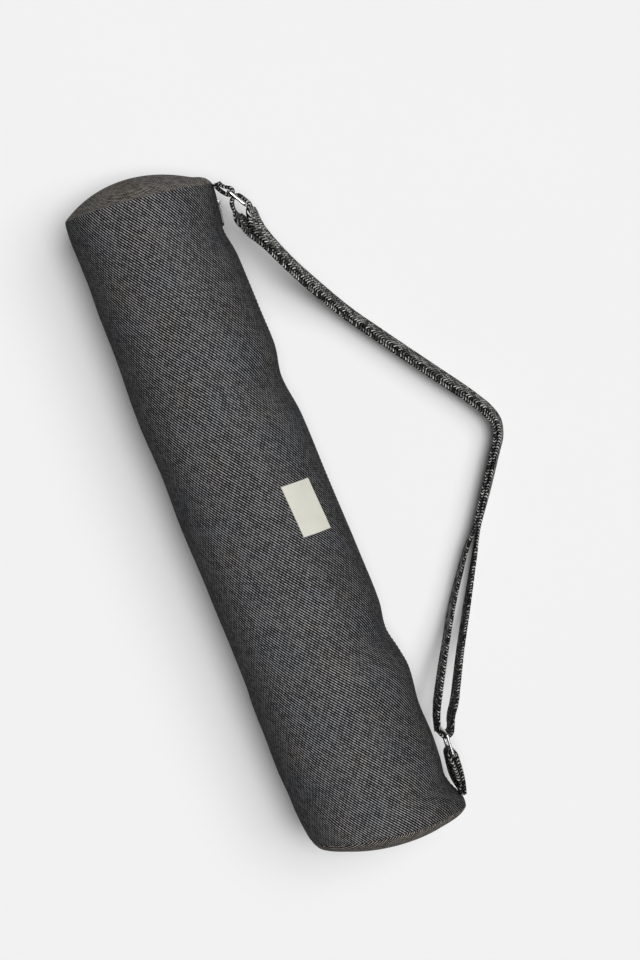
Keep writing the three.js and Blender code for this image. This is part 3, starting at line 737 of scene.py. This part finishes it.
def tube(centres, radius, sides, closed=False):
    """Points and quads of a round wire along a line of points."""
    if closed:
        tangent = unit(np.roll(centres, -1, 0) - np.roll(centres, 1, 0))
    else:
        tangent = unit(np.gradient(centres, axis=0))
    reference = np.where(np.abs(tangent @ UP)[:, None] < 0.9, UP, np.array([1.0, 0, 0]))
    side = unit(np.cross(tangent, reference))
    for i in range(1, len(side)):
        moved = side[i - 1] - tangent[i] * (side[i - 1] @ tangent[i])
        side[i] = moved / np.linalg.norm(moved)
    other = np.cross(tangent, side)
    spin = np.arange(sides) * 2 * np.pi / sides
    cos, sin = np.cos(spin)[:, None], np.sin(spin)[:, None]
    points = (centres[:, None] + radius * (cos * side[:, None] + sin * other[:, None])).reshape(-1, 3)
    if closed:
        return points, loop_faces(len(centres), sides)
    caps = [list(range(sides))[::-1], [(len(centres) - 1) * sides + i for i in range(sides)]]
    return points, grid_faces(len(centres), sides, wraps=True).tolist() + caps


def loop_faces(rows, columns):
    """Quads of a grid that closes on itself both ways."""
    i, j = np.meshgrid(np.arange(rows), np.arange(columns), indexing="ij")
    k, m = (j + 1) % columns, (i + 1) % rows
    quads = np.stack([i * columns + j, i * columns + k, m * columns + k, m * columns + j], -1)
    return quads.reshape(-1, 4).tolist()


def joined(parts):
    """Several lots of points and faces as one."""
    points, faces, start = [], [], 0
    for some_points, some_faces in parts:
        points.append(np.asarray(some_points))
        faces += [[start + corner for corner in face] for face in some_faces]
        start += len(some_points)
    return np.concatenate(points), faces


def zip_coil():
    """Two spirals that mesh along the middle of the zip."""
    turns = int(BODY_LENGTH / COIL_PITCH) - 2
    middle = COIL_DEPTH + COIL_HEIGHT / 2
    parts = []
    for side in (1, -1):
        t = np.arange(turns * 8 + 1) / 8
        place = (t + 1 + 0.25 * side) * COIL_PITCH / BODY_LENGTH
        across = side * COIL_APART + COIL_SWING * np.cos(2 * np.pi * t)
        depth = middle + (COIL_HEIGHT / 2 - COIL_WIRE) * np.sin(2 * np.pi * t)
        line = body_point(place, ZIP_ANGLE + np.degrees(across / HALF_WIDTH), depth)
        parts.append(tube(line, COIL_WIRE, 5))
    points, faces = joined(parts)
    return make_piece(
        "zip_coil_spirals", points, faces, material=coil_material, replaces=["zip_coil"]
    )


def stitch(start, end, outward, radius=THREAD / 2):
    """One stitch of thread that dives into the cloth at both ends."""
    t = np.linspace(0, 1, 6)[:, None]
    line = start * (1 - t) + end * t + outward * (radius * 1.3 * np.sin(np.pi * t) - radius * 0.5)
    return tube(line, radius, 5)


def zip_stitches():
    parts = []
    for side in (1, -1):
        angle = ZIP_ANGLE + side * degrees_for(SLOT_WIDTH / 2 + STITCH_ASIDE)
        for place in np.arange(4, BODY_LENGTH - 6, STITCH_LONG + STITCH_GAP):
            start, end = body_point(np.array([place, place + STITCH_LONG]) / BODY_LENGTH, angle, -0.05)
            below, above = body_point(place / BODY_LENGTH, angle, [0.0, -1.0])
            outward = unit(above - below)
            parts.append(stitch(start, end, outward))
    points, faces = joined(parts)
    return make_piece("zip_stitches", points, faces, material=thread_material)


def metal_copy(node, name, body, material):
    """A copy of a CAD node in a metal finish."""
    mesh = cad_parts[node].data.copy()
    mesh.materials.clear()
    mesh.materials.append(material)
    mesh.shade_smooth()
    piece = bpy.data.objects.new(name, mesh)
    bpy.context.scene.collection.objects.link(piece)
    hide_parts(node)
    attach(piece, body)
    return piece


# Places of the metal parts

top_corner = body_point(0.0, 0.0)
bottom_corner = body_point(1.0, 0.0)
slider_along = heading(SLIDER_TURN)
slider_across = heading(SLIDER_TURN + 90)
first_bar = np.array([top_corner[0] + SLIDER_OUT, top_corner[1] - SLIDER_DOWN, SLIDER_HEIGHT])
middle_bar = first_bar + slider_along * INNER_SLOT
last_bar = middle_bar + slider_along * OUTER_SLOT


def leaning_up(side, lean):
    return UP * math.cos(math.radians(lean)) + side * math.sin(math.radians(lean))


def middle_height(lift, lean):
    tilt = abs(math.radians(lean))
    return lift + WEB_WIDTH / 2 * math.cos(tilt) + WEB_THICK / 2 * math.sin(tilt)


FULL_LIFT = SLIDER_HEIGHT - WEB_WIDTH / 2
ring_height = middle_height(RING_LIFT * FULL_LIFT, RING_LEAN)
ring_along = heading(RING_TURN)
lower_bar = np.array([bottom_corner[0] + RING_OUT, bottom_corner[1] + TAB_REACH, ring_height])
upper_bar = lower_bar + ring_along * RING_WINDOW
ring_bar = leaning_up(heading(RING_TURN + 90), RING_LEAN)
loop_centre = upper_bar + heading(LOOP_TURN) * (LOOP_SPREAD - TURN_RADIUS)


def wire_rectangle(middle, along, bar, length):
    """A closed wire rectangle: length between its two bars, with its bars along bar."""
    along = unit(along - bar * (along @ bar))
    half_x, half_z = length / 2 - WIRE_CORNER, RAIL_HEIGHT - WIRE_CORNER
    line = []
    corners = ((half_x, half_z, 0), (-half_x, half_z, 90), (-half_x, -half_z, 180), (half_x, -half_z, 270))
    for x, z, start in corners:
        for turn in np.radians(np.linspace(start, start + 90, 9)):
            line.append(
                middle + along * (x + WIRE_CORNER * math.cos(turn)) + bar * (z + WIRE_CORNER * math.sin(turn))
            )
        goes_up = start in (90, 270)
        end = line[-1]
        run = (2 * half_z if goes_up else 2 * half_x)
        way = {0: -along, 90: -bar, 180: along, 270: bar}[start]
        line += [end + way * run * share for share in (0.02, 0.25, 0.5, 0.75, 0.98)]
    return tube(np.array(line), WIRE / 2, 16, closed=True)


def strap_ring():
    points, faces = wire_rectangle((lower_bar + upper_bar) / 2, ring_along, ring_bar, RING_WINDOW)
    return make_piece(
        "strap_ring_wire", points, faces, material=metal_material, replaces=["strap_ring"]
    )


def strap_slider():
    middle = (first_bar + last_bar) / 2
    frame_part = wire_rectangle(middle, slider_along, UP, INNER_SLOT + OUTER_SLOT)
    bar_line = middle_bar + UP * np.linspace(-RAIL_HEIGHT, RAIL_HEIGHT, 14)[:, None]
    points, faces = joined([frame_part, tube(bar_line, WIRE / 2, 16)])
    return make_piece(
        "strap_slider_wire", points, faces, material=metal_material, replaces=["strap_slider"]
    )


# Webbing


def curve_between(a, b, c, d, t):
    """Shares t of a centripetal curve from b to c. A neighbour that lies on b or on c is mirrored instead."""
    pairs = ((a, b), (b, c), (c, d))
    before, span, after = (max(np.linalg.norm(q[:3] - p[:3]), 1e-6) ** 0.5 for p, q in pairs)
    if before < 1e-2:
        a, before = 2 * b - c, span
    if after < 1e-2:
        d, after = 2 * c - b, span
    u = before + t * span
    a1 = a + (b - a) * u / before
    a2 = b + (c - b) * t
    a3 = c + (d - c) * (t - 1) * span / after
    b1 = a1 + (a2 - a1) * u / (before + span)
    b2 = a2 + (a3 - a2) * t * span / (span + after)
    return b1 + (b2 - b1) * t


def spline(points, closed, step):
    """A smooth line through points, at about a step apart. A row's first three numbers are its place."""
    points = np.asarray(points, float)
    count = len(points)
    line = []
    for i in range(count if closed else count - 1):
        near = np.arange(i - 1, i + 3)
        a, b, c, d = points[near % count if closed else np.clip(near, 0, count - 1)]
        parts = max(1, round(np.linalg.norm(c[:3] - b[:3]) / step))
        line.append(curve_between(a, b, c, d, (np.arange(parts) / parts)[:, None]))
    if not closed:
        line.append(points[-1:])
    return np.concatenate(line)


def web_profile():
    """Places round a section of webbing: across, through, way round, and how far on an edge."""
    half = WEB_WIDTH / 2 - WEB_THICK / 2
    edge = np.radians(np.linspace(-90, 90, 7))
    places = [(half + WEB_THICK / 2 * math.cos(a), WEB_THICK / 2 * math.sin(a), 1.0) for a in edge]
    flats = [(w, WEB_THICK / 2, 0.0) for w in np.linspace(half, -half, 6)[1:-1]]
    places += flats
    places += [(-w, -t, e) for w, t, e in places]
    table = np.array(places)
    length = np.linalg.norm(np.diff(table[:, :2], axis=0), axis=1)
    round_it = np.concatenate([[0], np.cumsum(length)]) - WEB_THICK * math.pi / 4
    return np.column_stack([table[:, :2], round_it, table[:, 2]])


def webbing(name, stations, closed, replaces):
    """A ribbed band through stations of a centre and a rise."""
    line = spline(stations, closed, WEB_STEP)
    centre, rise = line[:, :3], unit(line[:, 3:])
    if closed:
        tangent = unit(np.roll(centre, -2, 0) - np.roll(centre, 2, 0))
    else:
        tangent = unit(np.gradient(centre, axis=0))
    across = unit(rise - tangent * np.sum(rise * tangent, 1)[:, None])
    through = np.cross(tangent, across)
    profile = web_profile()
    run = np.concatenate([[0], np.cumsum(np.linalg.norm(np.diff(centre, axis=0), axis=1))])
    bent = np.abs(profile[:, 1])
    wave = np.sin(2 * np.pi * (run[:, None] / RIB_PITCH + bent[None, :] / CHEVRON))
    swell = -RIB_HIGH * (0.5 - 0.5 * wave) * (0.35 + 0.65 * profile[None, :, 3])
    w = profile[None, :, 0] + swell * np.sign(profile[None, :, 0]) * profile[None, :, 3]
    t = profile[None, :, 1] + swell * np.sign(profile[None, :, 1]) * (1 - profile[None, :, 3])
    points = centre[:, None] + across[:, None] * w[..., None] + through[:, None] * t[..., None]
    points[..., 2] = np.maximum(points[..., 2], 0.0)
    rows, columns = points.shape[:2]
    flat = np.stack(np.broadcast_arrays(run[:, None], profile[None, :, 2]), -1).reshape(-1, 2)
    if closed:
        faces = loop_faces(rows, columns)
    else:
        ends = [list(range(columns))[::-1], [(rows - 1) * columns + i for i in range(columns)]]
        faces = grid_faces(rows, columns, wraps=True).tolist() + ends
    return make_piece(
        name, points.reshape(-1, 3), faces, uvs=flat, material=web_material, replaces=replaces
    )


def turn_stations(centre, bar, ahead, radius, from_angle, to_angle, per_half_turn=12):
    right = unit(np.cross(ahead, bar))
    front = np.cross(bar, right)
    count = math.ceil((to_angle - from_angle) / 180 * per_half_turn)
    return [
        np.concatenate([centre + radius * (right * math.cos(a) + front * math.sin(a)), bar])
        for a in np.radians(np.linspace(from_angle, to_angle, count + 1))
    ]


def route_stations():
    """The strap's route from the slider to the ring, before it parts into two plies."""
    points = [
        (HALF_WIDTH + out * STRAP_REACH, loop_centre[1] + (last_bar[1] - loop_centre[1]) * along, 0.0)
        for out, along, *_ in STRAP_ROUTE
    ]
    points.append((loop_centre[0], loop_centre[1], 0.0))
    rows = [(lift * FULL_LIFT, lean, spread * LOOP_SPREAD) for _, _, lift, lean, spread in STRAP_ROUTE]
    rows.append((RING_LIFT * FULL_LIFT, RING_LEAN, LOOP_SPREAD))
    places = np.arange(len(rows))
    lift, lean, spread = (column(rows, k, places) for k in range(3))
    curve = smooth_route(points)
    stations = []
    for at in np.arange(0, len(rows) - 1, 0.25):
        centre = curve(at)
        ahead = unit(curve(at + 0.01) - curve(at - 0.01))
        centre[2] = middle_height(max(0.0, float(lift(at))), float(lean(at)))
        stations.append((centre, np.array([ahead[1], -ahead[0], 0.0]), float(lean(at)), float(spread(at))))
    return stations


def smooth_route(points):
    """A centripetal curve through points, by their index."""
    points = np.asarray(points, float)
    padded = np.concatenate([[2 * points[0] - points[1]], points, [2 * points[-1] - points[-2]]])

    def curve(at):
        i = min(max(int(math.floor(at)), 0), len(points) - 2)
        return curve_between(*padded[i : i + 4], at - i)

    return curve


def ply(route, sideways):
    return [
        np.concatenate([
            centre + side * sideways * spread / math.cos(math.radians(lean)), leaning_up(side, lean)
        ])
        for centre, side, lean, spread in route
    ]


def shoulder_strap():
    route = route_stations()
    exits = [
        np.concatenate([middle_bar + slider_along * a * TURN_RADIUS + slider_across * b * TURN_RADIUS, UP])
        for a, b in SLOT_EXIT
    ]
    stations = ply(route, -1)[::-1]
    stations += turn_stations(last_bar, UP, slider_across, TURN_RADIUS, -SLIDER_TURN, 90)
    stations += turn_stations(middle_bar, UP, slider_across, TURN_RADIUS, 90, 180)
    stations += exits + ply(route, 1)
    stations += turn_stations(loop_centre, ring_bar, heading(LOOP_TURN + 180), LOOP_SPREAD, 0, 180)
    return webbing("shoulder_strap_webbing", stations, True, ["shoulder_strap"])


def tab_stations(seat, knee, place, bar, lean, twist=0.0):
    route = []
    for share in np.linspace(0, 1, 13)[:-1]:
        centre = seat * (1 - share) ** 2 + knee * 2 * share * (1 - share) + place * share**2
        ahead = unit((knee - seat) * (1 - share) + (place - knee) * share)
        spread = PAIR_SPREAD + (TURN_RADIUS - PAIR_SPREAD) * share**2
        tilt = lean * share + twist * math.sin(math.pi * share)
        route.append((centre, unit(np.array([ahead[1], -ahead[0], 0.0])), tilt, spread))
    turn = turn_stations(place, bar, place - knee, TURN_RADIUS, 0, 180)
    return ply(route, 1) + turn + ply(route, -1)[::-1]


PAIR_OUT = GAP + WEB_THICK / 2 + PAIR_SPREAD


def tabs():
    side = top_corner[0] + PAIR_OUT
    seat = np.array([side, top_corner[1] - UPPER_TAB_END, SLIDER_HEIGHT])
    knee = np.array([side, (top_corner[1] + first_bar[1]) / 2, SLIDER_HEIGHT])
    webbing("tab_upper_webbing", tab_stations(seat, knee, first_bar, UP, 0), False, ["tab_upper"])
    facet_start = body_point(1 - FACET_LONG / BODY_LENGTH, 0.0)
    side = bottom_corner[0] + (facet_start[0] - bottom_corner[0]) * LOWER_TAB_END / FACET_LONG + PAIR_OUT
    seat = np.array([side, bottom_corner[1] + LOWER_TAB_END, ring_height])
    knee = np.array([side, seat[1] * 0.6 + lower_bar[1] * 0.4, ring_height])
    stations = tab_stations(seat, knee, lower_bar, ring_bar, -RING_LEAN, TAB_TWIST)
    webbing("tab_lower_webbing", stations, False, ["tab_lower"])


body_cloth()
end_cloth("end_panel_top", TOP_END)
end_cloth("end_panel_bottom", BOTTOM_END)
label()
zip_tape(1, "zip_tape_upper")
zip_tape(-1, "zip_tape_lower")
zip_coil()
zip_stitches()
metal_copy("zip_slider", "zip_slider_metal", "bag", metal_material)
metal_copy("zip_pull", "zip_pull_metal", "pull", satin_material)
strap_ring()
strap_slider()
shoulder_strap()
tabs()


# Floor, light and camera


def floor():
    mesh = bpy.data.meshes.new("floor")
    signs = ((-1, -1), (1, -1), (1, 1), (-1, 1))
    corners = [(x * FLOOR_HALF * MM, y * FLOOR_HALF * MM, -FLOOR_DOWN * MM) for x, y in signs]
    mesh.from_pydata(corners, [], [(0, 1, 2, 3)])
    n = Nodes("floor")
    colour = n.ramp(n.noise(3.0, 2.0), (0.3, (0.845, 0.845, 0.845)), (0.7, (0.85, 0.85, 0.85)))
    mesh.materials.append(n.finish(colour, 0.9, Specular_IOR_Level=0.1))
    piece = bpy.data.objects.new("floor", mesh)
    bpy.context.scene.collection.objects.link(piece)


def sun(name, azimuth, elevation, strength, spread):
    """azimuth: degrees from +X that the light comes from."""
    data = bpy.data.lights.new(name, "SUN")
    data.energy = strength
    data.angle = math.radians(spread)
    lamp = bpy.data.objects.new(name, data)
    a, e = math.radians(azimuth), math.radians(elevation)
    way = (-math.cos(a) * math.cos(e), -math.sin(a) * math.cos(e), -math.sin(e))
    lamp.rotation_mode = "QUATERNION"
    lamp.rotation_quaternion = Vector(way).to_track_quat("-Z", "Y")
    bpy.context.scene.collection.objects.link(lamp)


def camera():
    roll, tilt = math.radians(CAMERA_ROLL), math.radians(CAMERA_TILT)
    up = np.array([math.sin(roll), math.cos(roll), 0.0])
    right = np.array([math.cos(roll), -math.sin(roll), 0.0])
    back = math.sin(tilt) * up + math.cos(tilt) * UP
    place = (np.array(CAMERA_AIM) + back * CAMERA_DISTANCE) * MM
    top = np.cross(back, right)
    data = bpy.data.cameras.new("camera")
    data.lens = 85
    data.sensor_width = 36
    data.clip_end = 20
    view = bpy.data.objects.new("camera", data)
    view.matrix_world = Matrix([[right[i], top[i], back[i], place[i]] for i in range(3)] + [[0, 0, 0, 1]])
    bpy.context.scene.collection.objects.link(view)
    bpy.context.scene.camera = view


floor()
sun("softbox_above", 10, 80, 1.68, 30)
sun("softbox_side", 10, 62, 1.68, 44)
world = bpy.data.worlds.new("studio")
world.use_nodes = True
world.node_tree.nodes["Background"].inputs[0].default_value = (1, 1, 1, 1)
world.node_tree.nodes["Background"].inputs[1].default_value = 0.05
bpy.context.scene.world = world
bpy.context.scene.view_settings.view_transform = "Standard"
camera()
